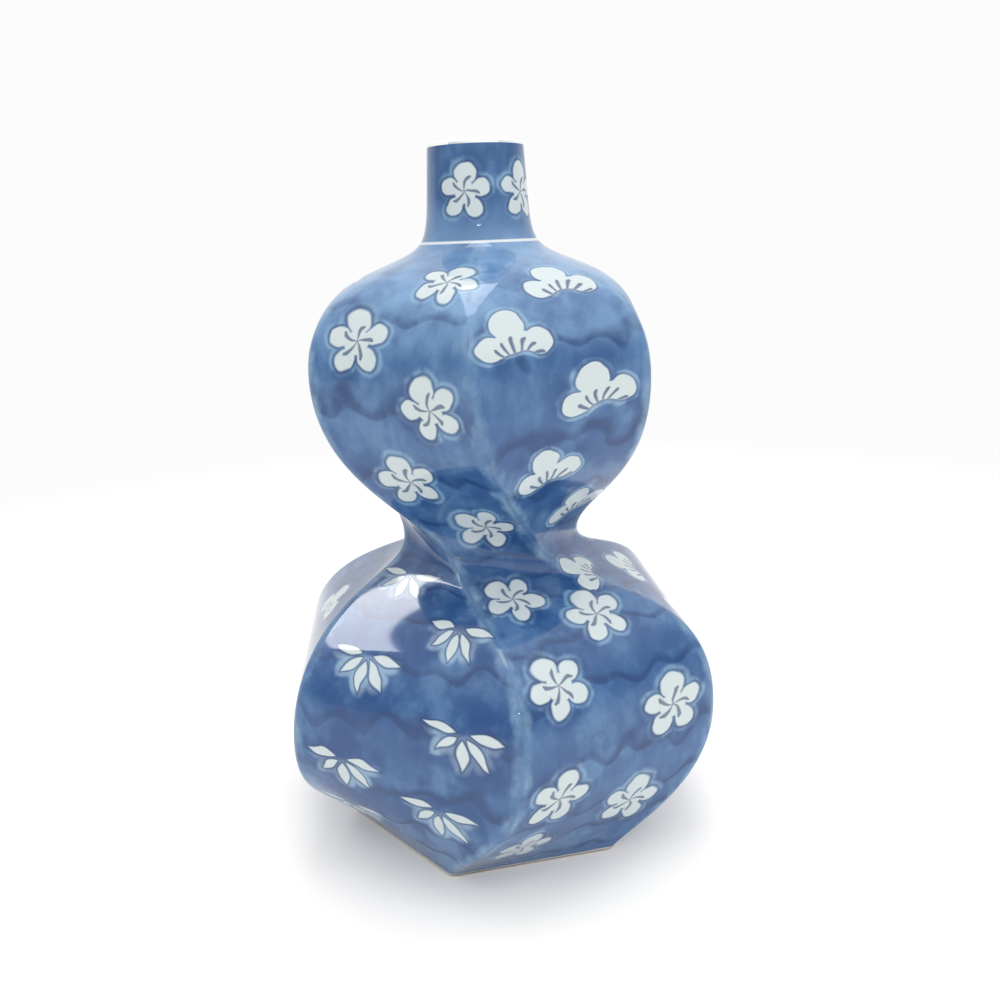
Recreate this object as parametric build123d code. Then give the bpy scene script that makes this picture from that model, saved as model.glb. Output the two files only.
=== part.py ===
from build123d import *
import os
from math import acos, atan2, cos, hypot, pi, radians, sin

# A porcelain double gourd vase with six twisted sides.
# Millimetres, +Z up, z = 0 is the table under the foot and the Z axis is the vase's own axis.
# Four pieces are formed apart and luted together: foot ring, lower bulb, upper bulb, neck.
# Twist is measured from -Y towards +X, so twist 0 is a ridge that faces the front.

SIDES = 6

# Heights of the stretches, from the table up
FOOT_HEIGHT = 5.0
TABLE_TO_LOWER_BELLY = 55.5
LOWER_BELLY_TO_WAIST = 64.3
WAIST_TO_UPPER_BELLY = 67.8
UPPER_BELLY_TO_SEAT = 46.9
NECK_HEIGHT = 35.5

# Distance of the sharp ridge from the axis at each of those levels
FOOT_RADIUS = 64.5
LOWER_BELLY_RADIUS = 93.7
WAIST_RADIUS = 36.3
UPPER_BELLY_RADIUS = 71.2
SEAT_RADIUS = 22.4
RIM_RADIUS = 17.95

# Direction of the first ridge, in degrees, and how fast it turns there, in degrees per mm
FOOT_TWIST = 41.2
LOWER_BELLY_TWIST = 64.0
WAIST_TWIST = 32.3
UPPER_BELLY_TWIST = -3.8
SEAT_TWIST = -2.0
FOOT_TURN = 0.43
LOWER_BELLY_TURN = 0.09
WAIST_TURN = -1.31
UPPER_BELLY_TURN = -0.06
SEAT_TURN = 0.05

# Fullness of the curves: length of each curve handle as a share of its stretch's height
FOOT_FULLNESS = 0.25
LOWER_BELLY_FULLNESS_BELOW = 0.49
LOWER_BELLY_FULLNESS_ABOVE = 0.85
WAIST_FULLNESS_BELOW = 0.275
WAIST_FULLNESS_ABOVE = 0.23
UPPER_BELLY_FULLNESS_BELOW = 0.575
UPPER_BELLY_FULLNESS_ABOVE = 0.82
SEAT_FULLNESS = 0.27
FOOT_FLARE = 32.0       # lean of the side outwards at the table, degrees
SEAT_LEAN = 35.5        # lean of the side inwards where the neck sits, degrees

# Ridges and walls
RIDGE_FILLET = 4.0      # rounding of each ridge
FADE_HEIGHT = 29.5      # below the seat, over this height, the hexagon turns into a circle
WALL = 4.2              # bulbs, measured square to the side
FLOOR = 5.5             # floor of the lower bulb
FOOT_WIDTH = 7.5        # foot ring, from its outside to its recess

# Neck
LIP_RADIUS = 1.775      # full rounding of the lip, half the thickness of the neck
THROAT_WALL = 4.6       # seat, from its outside to the hole through it
THROAT_HEIGHT = 8.5     # above the seat, over this height, the throat narrows to the bore
NECK_FLARE = 12.0       # radius of the sweep from the shoulder into the neck

# Levels and hollows that follow from those sizes
HALF = pi / SIDES
LOWER_BELLY_Z = TABLE_TO_LOWER_BELLY
WAIST_Z = LOWER_BELLY_Z + LOWER_BELLY_TO_WAIST
UPPER_BELLY_Z = WAIST_Z + WAIST_TO_UPPER_BELLY
SEAT_Z = UPPER_BELLY_Z + UPPER_BELLY_TO_SEAT
RIM_Z = SEAT_Z + NECK_HEIGHT
BORE_RADIUS = RIM_RADIUS - 2 * LIP_RADIUS
THROAT_RADIUS = SEAT_RADIUS - THROAT_WALL


def bezier(points, t):
    """Point of a cubic curve: four weights times four control points."""
    u = 1 - t
    weights = (u ** 3, 3 * u * u * t, 3 * u * t * t, t ** 3)
    return [sum(w * p[k] for w, p in zip(weights, points)) for k in range(3)]


def fade(z):
    """0 where the section is a full hexagon, 1 where it is round."""
    s = min(max(1 - (SEAT_Z - z) / FADE_HEIGHT, 0), 1)
    return s * s * (3 - 2 * s)


def side(points, t):
    """Apothem (axis to flat side), twist and height of the outside at t."""
    radius, twist, z = bezier(points, t)
    flat = radius * cos(HALF)
    return flat + (radius - flat) * fade(z), twist, z


def slope(points, t):
    """How fast radius, twist and height change with t on a cubic curve."""
    u = 1 - t
    weights = (3 * u * u, 6 * u * t, 3 * t * t)
    steps = [[b[k] - a[k] for k in range(3)] for a, b in zip(points, points[1:])]
    return [sum(w * d[k] for w, d in zip(weights, steps)) for k in range(3)]


def inside(points, t):
    """Apothem, twist and height of the inside: one wall in from the outside, square to it."""
    apothem, twist, z = side(points, t)
    change = slope(points, t)
    da = change[0] * apothem / bezier(points, t)[0]
    dz = change[2]
    run = hypot(da, dz)
    return apothem - WALL * dz / run, twist, z + WALL * da / run


def section(apothem, fillet, twist, z):
    """Closed outline of one level: a hexagon with rounded corners, first ridge at twist."""
    corner = (apothem - fillet) / cos(HALF)
    starts, mids, ends = [], [], []
    for i in range(SIDES):
        ridge = radians(twist - 90) + 2 * HALF * i
        centre = Vector(corner * cos(ridge), corner * sin(ridge), z)
        starts.append(centre + Vector(cos(ridge - HALF), sin(ridge - HALF)) * fillet)
        mids.append(centre + Vector(cos(ridge), sin(ridge)) * fillet)
        ends.append(centre + Vector(cos(ridge + HALF), sin(ridge + HALF)) * fillet)
    edges = []
    for i in range(SIDES):
        edges.append(Edge.make_three_point_arc(starts[i], mids[i], ends[i]))
        edges.append(Edge.make_line(ends[i], starts[(i + 1) % SIDES]))
    return Wire(edges)


def outer_section(level):
    apothem, twist, z = level
    round_fillet = 0.985 * apothem
    fillet = RIDGE_FILLET + (round_fillet - RIDGE_FILLET) * fade(z)
    return section(apothem, fillet, twist, z)


def inner_section(level):
    """Outline of the hollow at one level: a plain hexagon."""
    apothem, twist, z = level
    radius = apothem / cos(HALF)
    ridges = [radians(twist - 90) + 2 * HALF * i for i in range(SIDES)]
    return Wire.make_polygon([(radius * cos(r), radius * sin(r), z) for r in ridges])


def find(law, points, z):
    """The t at which a stretch reaches height z."""
    low, high = 0.0, 1.0
    for _ in range(40):
        middle = (low + high) / 2
        if law(points, middle)[2] < z:
            low = middle
        else:
            high = middle
    return high


def levels(law, points, count, start=0.0):
    return [law(points, start + (1 - start) * i / count) for i in range(count + 1)]


# The four stretches of the ridge, each as (radius, twist, height) control points
rise = TABLE_TO_LOWER_BELLY
foot_up = FOOT_FULLNESS * rise
foot_to_belly = [
    (FOOT_RADIUS, FOOT_TWIST, 0),
    (FOOT_RADIUS + foot_up * sin(radians(FOOT_FLARE)) / cos(radians(FOOT_FLARE)),
     FOOT_TWIST + FOOT_TURN * foot_up, foot_up),
    (LOWER_BELLY_RADIUS,
     LOWER_BELLY_TWIST - LOWER_BELLY_TURN * LOWER_BELLY_FULLNESS_BELOW * rise,
     LOWER_BELLY_Z - LOWER_BELLY_FULLNESS_BELOW * rise),
    (LOWER_BELLY_RADIUS, LOWER_BELLY_TWIST, LOWER_BELLY_Z),
]
rise = LOWER_BELLY_TO_WAIST
belly_to_waist = [
    (LOWER_BELLY_RADIUS, LOWER_BELLY_TWIST, LOWER_BELLY_Z),
    (LOWER_BELLY_RADIUS,
     LOWER_BELLY_TWIST + LOWER_BELLY_TURN * LOWER_BELLY_FULLNESS_ABOVE * rise,
     LOWER_BELLY_Z + LOWER_BELLY_FULLNESS_ABOVE * rise),
    (WAIST_RADIUS, WAIST_TWIST - WAIST_TURN * WAIST_FULLNESS_BELOW * rise,
     WAIST_Z - WAIST_FULLNESS_BELOW * rise),
    (WAIST_RADIUS, WAIST_TWIST, WAIST_Z),
]
rise = WAIST_TO_UPPER_BELLY
waist_to_belly = [
    (WAIST_RADIUS, WAIST_TWIST, WAIST_Z),
    (WAIST_RADIUS, WAIST_TWIST + WAIST_TURN * WAIST_FULLNESS_ABOVE * rise,
     WAIST_Z + WAIST_FULLNESS_ABOVE * rise),
    (UPPER_BELLY_RADIUS,
     UPPER_BELLY_TWIST - UPPER_BELLY_TURN * UPPER_BELLY_FULLNESS_BELOW * rise,
     UPPER_BELLY_Z - UPPER_BELLY_FULLNESS_BELOW * rise),
    (UPPER_BELLY_RADIUS, UPPER_BELLY_TWIST, UPPER_BELLY_Z),
]
rise = UPPER_BELLY_TO_SEAT
seat_down = SEAT_FULLNESS * rise
belly_to_seat = [
    (UPPER_BELLY_RADIUS, UPPER_BELLY_TWIST, UPPER_BELLY_Z),
    (UPPER_BELLY_RADIUS,
     UPPER_BELLY_TWIST + UPPER_BELLY_TURN * UPPER_BELLY_FULLNESS_ABOVE * rise,
     UPPER_BELLY_Z + UPPER_BELLY_FULLNESS_ABOVE * rise),
    (SEAT_RADIUS + seat_down * sin(radians(SEAT_LEAN)), SEAT_TWIST - SEAT_TURN * seat_down,
     SEAT_Z - seat_down * cos(radians(SEAT_LEAN))),
    (SEAT_RADIUS, SEAT_TWIST, SEAT_Z),
]

# Foot ring: the lowest slice of the side, with a six-sided recess under the floor
foot_start = find(side, foot_to_belly, FOOT_HEIGHT)
foot_levels = [side(foot_to_belly, foot_start * i / 2) for i in range(3)]
foot_outside = Solid.make_loft([outer_section(l) for l in foot_levels])
recess = inner_section((foot_levels[0][0] - FOOT_WIDTH, FOOT_TWIST, 0))
foot_ring = foot_outside - extrude(Face(recess), FOOT_HEIGHT, dir=(0, 0, 1))

# Lower bulb: from the foot ring to the waist, hollow above its floor
lower_levels = levels(side, foot_to_belly, 6, foot_start)
lower_levels += levels(side, belly_to_waist, 11)[1:]
lower_outside = Solid.make_loft([outer_section(l) for l in lower_levels])
floor_start = find(inside, foot_to_belly, FOOT_HEIGHT + FLOOR)
lower_hollow_levels = levels(inside, foot_to_belly, 6, floor_start)
lower_hollow_levels += levels(inside, belly_to_waist, 11)[1:]
lower_hollow = Solid.make_loft([inner_section(l) for l in lower_hollow_levels])
lower_bulb = lower_outside - lower_hollow

# Upper bulb: from the waist to the neck's seat, open at both ends
upper_levels = levels(side, waist_to_belly, 11) + levels(side, belly_to_seat, 10)[1:]
upper_outside = Solid.make_loft([outer_section(l) for l in upper_levels])
upper_hollow_levels = levels(inside, waist_to_belly, 11) + levels(inside, belly_to_seat, 10)[1:]
upper_hollow_levels.append((THROAT_RADIUS * cos(HALF), SEAT_TWIST, SEAT_Z))
upper_hollow = Solid.make_loft([inner_section(l) for l in upper_hollow_levels])
upper_bulb = upper_outside - upper_hollow

# Neck: a round collar that sweeps out to the shoulder, with a straight bore and a full-round lip
lean = radians(SEAT_LEAN)
flare_centre = Vector(SEAT_RADIUS + NECK_FLARE * cos(lean), 0, SEAT_Z + NECK_FLARE * sin(lean))
rim_edge = Vector(RIM_RADIUS, 0, RIM_Z - LIP_RADIUS)
to_rim = rim_edge - flare_centre
# the straight side touches the sweep where a line from the rim's edge is tangent to it
tangent = atan2(to_rim.Z, to_rim.X) + acos(NECK_FLARE / to_rim.length)
middle = (tangent + pi + lean) / 2


def on_flare(angle):
    return flare_centre + Vector(cos(angle), 0, sin(angle)) * NECK_FLARE


sweep_arc = ThreePointArc((SEAT_RADIUS, 0, SEAT_Z), on_flare(middle), on_flare(tangent))
neck_side = Line(on_flare(tangent), rim_edge)
lip_end = Vector(BORE_RADIUS, 0, RIM_Z - LIP_RADIUS)
lip_arc = ThreePointArc(rim_edge, (RIM_RADIUS - LIP_RADIUS, 0, RIM_Z), lip_end)
bore_line = Line(lip_end, (BORE_RADIUS, 0, SEAT_Z + THROAT_HEIGHT))
throat_line = Line((BORE_RADIUS, 0, SEAT_Z + THROAT_HEIGHT), (THROAT_RADIUS, 0, SEAT_Z))
seat_line = Line((THROAT_RADIUS, 0, SEAT_Z), (SEAT_RADIUS, 0, SEAT_Z))
neck_outline = make_face([sweep_arc, neck_side, lip_arc, bore_line, throat_line, seat_line])
neck = revolve(neck_outline, Axis.Z)

pieces = {
    "foot_ring": foot_ring,
    "lower_bulb": lower_bulb,
    "upper_bulb": upper_bulb,
    "neck": neck,
}
os.makedirs("parts", exist_ok=True)
for name, piece in pieces.items():
    solid = piece.solids()[0]
    solid.label = name
    box = solid.bounding_box()
    print(name, "volume", round(solid.volume), "valid", solid.is_valid, "box", box.min, box.max)
    export_step(solid, f"parts/{name}.step")
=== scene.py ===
# %% [markdown]
# # A twisted double gourd vase in blue and white porcelain
# The vase is one fired piece of porcelain, about 27 cm tall. Two six-sided bulbs stand one on the
# other, and their ridges swirl round the waist between them before they fade into a round neck.
# The surface is hand painted: a mottled cobalt wash with pine, bamboo and plum left white.
# The frame gives the levels of the four sections, so those are read from it and not typed again.

from math import cos, pi, radians, sin, tan

import bpy
import numpy as np
from mathutils import Matrix, Vector


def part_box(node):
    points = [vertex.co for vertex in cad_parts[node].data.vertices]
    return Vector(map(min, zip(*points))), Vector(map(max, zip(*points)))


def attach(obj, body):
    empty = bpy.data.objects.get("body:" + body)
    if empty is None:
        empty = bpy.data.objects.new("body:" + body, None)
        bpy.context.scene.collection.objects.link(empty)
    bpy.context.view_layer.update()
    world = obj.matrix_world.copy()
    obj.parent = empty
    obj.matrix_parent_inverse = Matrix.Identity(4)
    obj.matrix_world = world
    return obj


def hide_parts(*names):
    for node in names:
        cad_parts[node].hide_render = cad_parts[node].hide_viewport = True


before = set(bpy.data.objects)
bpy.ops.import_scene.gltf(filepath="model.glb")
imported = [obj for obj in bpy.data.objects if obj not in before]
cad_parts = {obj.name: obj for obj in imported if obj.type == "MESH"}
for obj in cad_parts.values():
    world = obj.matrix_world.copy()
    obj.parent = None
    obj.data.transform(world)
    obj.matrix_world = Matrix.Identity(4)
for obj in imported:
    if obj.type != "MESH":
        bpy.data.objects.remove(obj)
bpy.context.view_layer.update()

MM = 0.001
foot_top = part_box("foot_ring")[1].z
waist_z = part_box("lower_bulb")[1].z
seat_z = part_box("upper_bulb")[1].z
rim_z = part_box("neck")[1].z
seat_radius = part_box("neck")[1].x
print("levels in mm:", [round(z / MM, 1) for z in (foot_top, waist_z, seat_z, rim_z)])

# %% [markdown]
# ## Two helpers
# Every node tree in this file, for shapes and for paint, is built with the same two helpers.
# One makes a node group with named sockets. The other adds a node, sets its options, and feeds
# its inputs in order with either a number or a wire from another node. The nodes that come most
# often have long names in Blender, so they get short ones first.

# %% Node helpers
FLOAT, WHOLE, VECTOR = "NodeSocketFloat", "NodeSocketInt", "NodeSocketVector"
MATH, VECTOR_MATH, MAP_RANGE = "ShaderNodeMath", "ShaderNodeVectorMath", "ShaderNodeMapRange"
MIX, NOISE, ATTRIBUTE = "ShaderNodeMix", "ShaderNodeTexNoise", "ShaderNodeAttribute"
SEPARATE, COMBINE = "ShaderNodeSeparateXYZ", "ShaderNodeCombineXYZ"
SMOOTH = {"interpolation_type": "SMOOTHSTEP"}       # a Map Range that starts and ends gently


def new_group(name, kind, inputs, outputs):
    """An empty node group: gives back the tree, its input wires and its output sockets."""
    tree = bpy.data.node_groups.new(name, kind)
    for label, socket in inputs.items():
        tree.interface.new_socket(label, in_out="INPUT", socket_type=socket)
    for label, socket in outputs.items():
        tree.interface.new_socket(label, in_out="OUTPUT", socket_type=socket)
    return tree, tree.nodes.new("NodeGroupInput").outputs, tree.nodes.new("NodeGroupOutput").inputs


def add(tree, kind, *inputs, out=0, **settings):
    """Adds one node with its settings, feeds its inputs in order and gives back one output."""
    node = tree.nodes.new(kind)
    for name, value in settings.items():
        setattr(node, name, value)
    for socket, value in zip([s for s in node.inputs if s.enabled], inputs):
        if isinstance(value, bpy.types.NodeSocket):
            tree.links.new(value, socket)
        elif value is not None:
            socket.default_value = value
    if isinstance(out, str):
        return node.outputs[out]
    return [s for s in node.outputs if s.enabled][out]


# %% [markdown]
# ## The rule of the ridge
# A potter would cut the mould from one ridge line and repeat it six times round the axis. That
# line is the rule here as well: five curve stretches, each with a start, two handles and an end.
# A point of the line is (radius, twist, height). Twist is counted from the front towards the
# right. Where two stretches meet, their handles lie on one line, so the side stays smooth.

# %% Ridge stretches
SIDES = 6
FOOT_RADIUS, LOWER_BELLY_RADIUS = 64.5 * MM, 93.7 * MM
WAIST_RADIUS, UPPER_BELLY_RADIUS, RIM_RADIUS = 36.3 * MM, 71.2 * MM, 17.95 * MM
LOWER_BELLY_Z, UPPER_BELLY_Z = 55.5 * MM, 187.6 * MM
FOOT_TWIST, LOWER_BELLY_TWIST = radians(41.2), radians(64.0)
WAIST_TWIST, UPPER_BELLY_TWIST, SEAT_TWIST = radians(32.3), radians(-3.8), radians(-2.0)
FOOT_TURN, LOWER_BELLY_TURN, WAIST_TURN, UPPER_BELLY_TURN = 0.43, 0.09, -1.31, -0.06
DEGREE_PER_MM = radians(1) / MM
FOOT_FLARE, SEAT_LEAN, LIP_LEAN = radians(32.0), radians(35.5), radians(4.0)
NECK_SWEEP, NECK_STRAIGHT = 5.0 * MM, 20.0 * MM
BORE_RADIUS, THROAT_RADIUS, THROAT_HEIGHT = 14.4 * MM, 17.8 * MM, 8.5 * MM
LIP = (RIM_RADIUS - BORE_RADIUS) / 2
lip_z = rim_z - LIP


def handle(station, turn, rise, lean=0.0):
    """A handle that leaves a station by a rise, turning on and leaning outwards as told."""
    radius, twist, z = station
    return radius + rise * tan(lean), twist + turn * DEGREE_PER_MM * rise, z + rise


table = (FOOT_RADIUS, FOOT_TWIST, 0.0)
lower_belly = (LOWER_BELLY_RADIUS, LOWER_BELLY_TWIST, LOWER_BELLY_Z)
waist = (WAIST_RADIUS, WAIST_TWIST, waist_z)
upper_belly = (UPPER_BELLY_RADIUS, UPPER_BELLY_TWIST, UPPER_BELLY_Z)
seat = (seat_radius, SEAT_TWIST, seat_z)
lip_edge = (RIM_RADIUS, SEAT_TWIST, lip_z)

# the length of a handle is a share of its stretch's height
foot_rise, lower_rise = LOWER_BELLY_Z, waist_z - LOWER_BELLY_Z
upper_rise, shoulder_rise = UPPER_BELLY_Z - waist_z, seat_z - UPPER_BELLY_Z
foot_to_belly = (table, handle(table, FOOT_TURN, 0.25 * foot_rise, FOOT_FLARE),
                 handle(lower_belly, LOWER_BELLY_TURN, -0.49 * foot_rise), lower_belly)
belly_to_waist = (lower_belly, handle(lower_belly, LOWER_BELLY_TURN, 0.85 * lower_rise),
                  handle(waist, WAIST_TURN, -0.275 * lower_rise), waist)
waist_to_belly = (waist, handle(waist, WAIST_TURN, 0.23 * upper_rise),
                  handle(upper_belly, UPPER_BELLY_TURN, -0.575 * upper_rise), upper_belly)
belly_to_seat = (upper_belly, handle(upper_belly, UPPER_BELLY_TURN, 0.82 * shoulder_rise),
                 handle(seat, 0.0, -0.27 * cos(SEAT_LEAN) * shoulder_rise, -SEAT_LEAN), seat)
seat_to_lip = (seat, handle(seat, 0.0, NECK_SWEEP, -SEAT_LEAN),
               handle(lip_edge, 0.0, -NECK_STRAIGHT, -LIP_LEAN), lip_edge)
stretches = (foot_to_belly, belly_to_waist, waist_to_belly, belly_to_seat, seat_to_lip)
print("stretches of the ridge:", len(stretches))

# %% [markdown]
# ## Reading the line
# Three small functions read a stretch: the point at a share of its way, the share at which it
# gets to a height, and the length of its profile. The lengths say how many rows the surface needs
# and tell the paint how far up the side a place is.

# %% Points and lengths of a stretch
def bezier(points, t):
    """Point of a curve stretch, between its start at 0 and its end at 1."""
    p = np.array(points)
    u = 1 - t
    return u ** 3 * p[0] + 3 * u * u * t * p[1] + 3 * u * t * t * p[2] + t ** 3 * p[3]


def reach(points, z):
    """The place t on a stretch where it gets to height z, by halving."""
    low, high = 0.0, 1.0
    for _ in range(40):
        middle = (low + high) / 2
        if bezier(points, middle)[2] < z:
            low = middle
        else:
            high = middle
    return high


def length(points, start, end):
    """Length of the profile along part of a stretch, added up over short steps."""
    line = np.array([bezier(points, t)[[0, 2]] for t in np.linspace(start, end, 60)])
    return float(np.linalg.norm(np.diff(line, axis=0), axis=1).sum())


print("profile length in mm:", round(sum(length(s, 0, 1) for s in stretches) / MM))

# %% [markdown]
# ## Geometry Nodes turn the rule into a surface
# The sides follow a rule, so a node tree makes them, and a change of the rule changes all six at
# once. The tree starts from a flat grid: up the grid is the way along the ridge, and across it is
# the way round the vase. Each row looks up its radius, twist and height by mixing the four
# control points of its stretch, neighbour with neighbour, until one point is left.

# %% Grid and rows
SHAPE = "NodeSocketGeometry"
surface_inputs = {
    "Start": VECTOR, "Leave": VECTOR, "Arrive": VECTOR, "End": VECTOR,
    "From": FLOAT, "To": FLOAT, "Rows": WHOLE, "Columns per side": WHOLE, "First row": FLOAT,
    "Ridge fillet": FLOAT, "Fade from": FLOAT, "Fade to": FLOAT,
    "Start length": FLOAT, "Length": FLOAT,
}
surface, size, finished = new_group("twisted_side", "GeometryNodeTree", surface_inputs, {"Surface": SHAPE})

columns = add(surface, MATH, size["Columns per side"], SIDES, 1.0, operation="MULTIPLY_ADD")
grid = add(surface, "GeometryNodeMeshGrid", 1.0, 1.0, columns, size["Rows"])
on_grid = add(surface, "GeometryNodeInputPosition")
flat_place = add(surface, VECTOR_MATH, on_grid, (0.5, 0.5, 0.0), operation="ADD")
parts = add(surface, SEPARATE, flat_place).node.outputs
along = add(surface, MAP_RANGE, parts["Y"], 0.0, 1.0, size["From"], size["To"], clamp=False)

points = [size[n] for n in ("Start", "Leave", "Arrive", "End")]
while len(points) > 1:
    points = [add(surface, MIX, along, a, b, data_type="VECTOR", clamp_factor=False)
              for a, b in zip(points, points[1:])]
radius, twist, height = add(surface, SEPARATE, points[0]).node.outputs
print("surface tree:", len(surface_inputs), "named inputs")

# %% [markdown]
# ## The rounded hexagon of a row
# Each column is a place on a hexagon with rounded corners. Most columns lie on the flat and some on
# the rounding, so the ridges stay crisp. Towards the neck the rounding grows until the hexagon is
# a circle, as the real shoulder goes over into the thrown neck.

# %% Place of a column on its side
FILLET_SHARE = 0.28     # share of the columns of a side that lie on its two roundings
ROUND_FLAT = 0.02       # share of the columns that are still flat where the section is round
ROUND_SHARE = 0.985     # rounding of the section at the neck, as a share of its apothem

around = add(surface, MATH, parts["X"], float(SIDES), operation="MULTIPLY")
last_side = add(surface, MATH, around, SIDES - 1e-4, operation="MINIMUM")
side = add(surface, MATH, last_side, operation="FLOOR")
within = add(surface, MATH, around, side, operation="SUBTRACT")
signed = add(surface, MATH, within, 2.0, -1.0, operation="MULTIPLY_ADD")
off_middle = add(surface, MATH, signed, operation="ABSOLUTE")
hand = add(surface, MATH, signed, operation="SIGN")

fade = add(surface, MAP_RANGE, height, size["Fade from"], size["Fade to"], 0.0, 1.0, **SMOOTH)
flatness = add(surface, MIX, fade, cos(pi / SIDES), 1.0, data_type="FLOAT")
apothem = add(surface, MATH, radius, flatness, operation="MULTIPLY")
full_round = add(surface, MATH, apothem, ROUND_SHARE, operation="MULTIPLY")
fillet = add(surface, MIX, fade, size["Ridge fillet"], full_round, data_type="FLOAT")
flat_share = add(surface, MIX, fade, 1 - FILLET_SHARE, ROUND_FLAT, data_type="FLOAT")
centre = add(surface, MATH, apothem, fillet, operation="SUBTRACT")
half_flat = add(surface, MATH, centre, tan(pi / SIDES), operation="MULTIPLY")
on_flat = add(surface, MAP_RANGE, off_middle, 0.0, flat_share, 0.0, half_flat)
bend = add(surface, MAP_RANGE, off_middle, flat_share, 1.0, 0.0, pi / SIDES)
bend_sine = add(surface, MATH, bend, operation="SINE")
bend_cosine = add(surface, MATH, bend, operation="COSINE")
sideways = add(surface, MATH, bend_sine, fillet, on_flat, operation="MULTIPLY_ADD")
outwards = add(surface, MATH, bend_cosine, fillet, centre, operation="MULTIPLY_ADD")
print("surface tree:", len(surface.nodes), "nodes so far")

# %% [markdown]
# ## From the front side to all six
# A place worked out for the front side is turned to its own side and by the twist of its row. The
# tree also keeps row, place round, distance across and distance along for the paint. It keeps them
# before Set Position bends the grid, because they read the flat one.

# %% Turn into place and keep the numbers
across = add(surface, MATH, sideways, hand, operation="MULTIPLY")
backwards = add(surface, MATH, outwards, -1.0, operation="MULTIPLY")
front = add(surface, COMBINE, across, backwards, height)
half_side = add(surface, MATH, side, 2 * pi / SIDES, pi / SIDES, operation="MULTIPLY_ADD")
turn = add(surface, MATH, half_side, twist, operation="ADD")
placed = add(surface, "ShaderNodeVectorRotate", front, (0.0, 0.0, 0.0), (0.0, 0.0, 1.0), turn,
             rotation_type="AXIS_ANGLE")
row_steps = add(surface, MATH, size["Rows"], 1.0, operation="SUBTRACT")
row = add(surface, MATH, parts["Y"], row_steps, size["First row"], operation="MULTIPLY_ADD")
distance = add(surface, MATH, parts["Y"], size["Length"], size["Start length"], operation="MULTIPLY_ADD")

geometry = grid
for label, value in (("row", row), ("around", around), ("across", sideways), ("along", distance)):
    geometry = add(surface, "GeometryNodeStoreNamedAttribute", geometry, None, label, value,
                   data_type="FLOAT", domain="POINT")
geometry = add(surface, "GeometryNodeSetPosition", geometry, None, placed)
geometry = add(surface, "GeometryNodeRealizeInstances", geometry)
geometry = add(surface, "GeometryNodeSetMaterial", geometry, None, bpy.data.materials.new("bare_clay"))
surface.links.new(geometry, finished["Surface"])
print("surface tree:", len(surface.nodes), "nodes in all")

# %% [markdown]
# ## Running the tree for one stretch
# The same tree runs once for each stretch, with its own control points and number of rows. The
# result is read as a plain table of points, row by row, because the sections and the paint need to
# know which row and column a point belongs to. A mesh alone wouldn't tell them.

# %% Rows of one stretch
COLUMNS = 36            # on each side
ROW_PITCH = 1.25 * MM   # distance between rows along the profile
WAIST_PITCH = 0.8 * MM  # closer on both sides of the waist, where the sides twist most
RIDGE_FILLET = 4.0 * MM
FADE_HEIGHT = 29.5 * MM


def run_surface(points, start, end, first_row, start_length):
    """Rows of one stretch: points, distance across the side and distance along the profile."""
    run = length(points, start, end)
    pitch = WAIST_PITCH if waist in points else ROW_PITCH
    rows = max(round(run / pitch), 2) + 1
    values = {
        "Start": points[0], "Leave": points[1], "Arrive": points[2], "End": points[3],
        "From": start, "To": end, "Rows": rows, "Columns per side": COLUMNS,
        "First row": float(first_row), "Ridge fillet": RIDGE_FILLET,
        "Fade from": seat_z - FADE_HEIGHT, "Fade to": seat_z,
        "Start length": start_length, "Length": run,
    }
    holder = bpy.data.objects.new("stretch", bpy.data.meshes.new("stretch"))
    bpy.context.scene.collection.objects.link(holder)
    modifier = holder.modifiers.new("twisted side", "NODES")
    modifier.node_group = surface
    for item in surface.interface.items_tree:
        if item.in_out == "INPUT":
            modifier[item.identifier] = values[item.name]
    graph = bpy.context.evaluated_depsgraph_get()
    mesh = bpy.data.meshes.new_from_object(holder.evaluated_get(graph))
    holder.modifiers.remove(modifier)
    kept = {}
    for label in ("row", "around", "across", "along"):
        kept[label] = np.empty(len(mesh.vertices), np.float32)
        mesh.attributes[label].data.foreach_get("value", kept[label])
    place = np.empty(3 * len(mesh.vertices), np.float32)
    mesh.vertices.foreach_get("co", place)
    bpy.data.objects.remove(holder)
    bpy.data.meshes.remove(mesh)
    order = np.lexsort((kept["around"], np.round(kept["row"])))
    shape = (rows, SIDES * COLUMNS + 1)     # the last column closes the ring on the first
    place = place.reshape(-1, 3)[order].reshape(*shape, 3)[:, :-1].astype(float)
    across = kept["across"][order].reshape(shape)[:, :-1]
    along = kept["along"][order].reshape(shape)[:, 0]
    return place, across, along


# %% [markdown]
# ## The whole outside
# The stretches are run from the table to the lip and stacked, and each section notes which rows
# are its own. Normals come from the whole stack at once, so that the four sections, which are
# luted together on the real vase, later meet without a visible line.

# %% Stack the stretches
FOOT_CHAMFER = 0.7 * MM
chamfer_t = reach(foot_to_belly, FOOT_CHAMFER)
foot_t = reach(foot_to_belly, foot_top)
plan = [("foot_ring", foot_to_belly, chamfer_t, foot_t), ("lower_bulb", foot_to_belly, foot_t, 1.0),
        ("lower_bulb", belly_to_waist, 0.0, 1.0), ("upper_bulb", waist_to_belly, 0.0, 1.0),
        ("upper_bulb", belly_to_seat, 0.0, 1.0), ("neck", seat_to_lip, 0.0, 1.0)]
blocks, spans, rows_done, length_done = [], {}, 0, 0.0
for section, points, start, end in plan:
    block = run_surface(points, start, end, rows_done, length_done)
    skip = 1 if blocks else 0     # the first row of a stretch is the last row of the one below
    blocks.append([part[skip:] for part in block])
    first = spans.get(section, (max(rows_done - 1, 0),))[0]
    rows_done += len(block[0]) - skip
    length_done = float(block[2][-1])
    spans[section] = (first, rows_done - 1)
outside, across_mm, along_mm = (np.concatenate([b[i] for b in blocks]) for i in range(3))
across_mm, along_mm = across_mm / MM, along_mm / MM

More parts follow.
